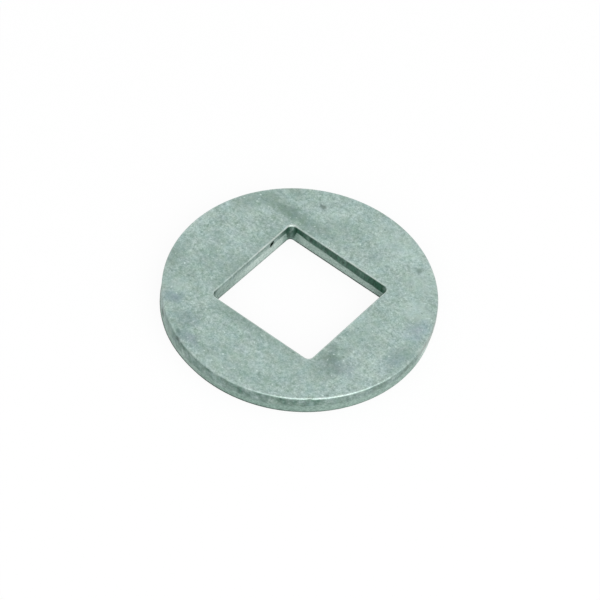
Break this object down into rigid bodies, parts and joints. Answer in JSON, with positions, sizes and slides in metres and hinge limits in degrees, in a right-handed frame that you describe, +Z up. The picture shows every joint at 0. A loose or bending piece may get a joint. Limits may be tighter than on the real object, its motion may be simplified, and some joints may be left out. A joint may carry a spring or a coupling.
{
  "type": "round washer with square hole",
  "caption": "Flat round steel washer with a square hole, stamped from plate, that spreads the load under a nut or seats the square neck of a carriage bolt.",
  "frame": {"origin": "centre of the underside, on the axis of the hole", "axes": "+Z up along the hole towards the face with the rolled edges, X and Y square to the hole's sides"},
  "size_m": [0.024, 0.024, 0.002],
  "materials": {
    "plated_steel": "tumbled plating in a dull green-grey, darker on the sheared edges"
  },
  "bodies": {
    "root": {"washer": "plated_steel"}
  },
  "joints": []
}
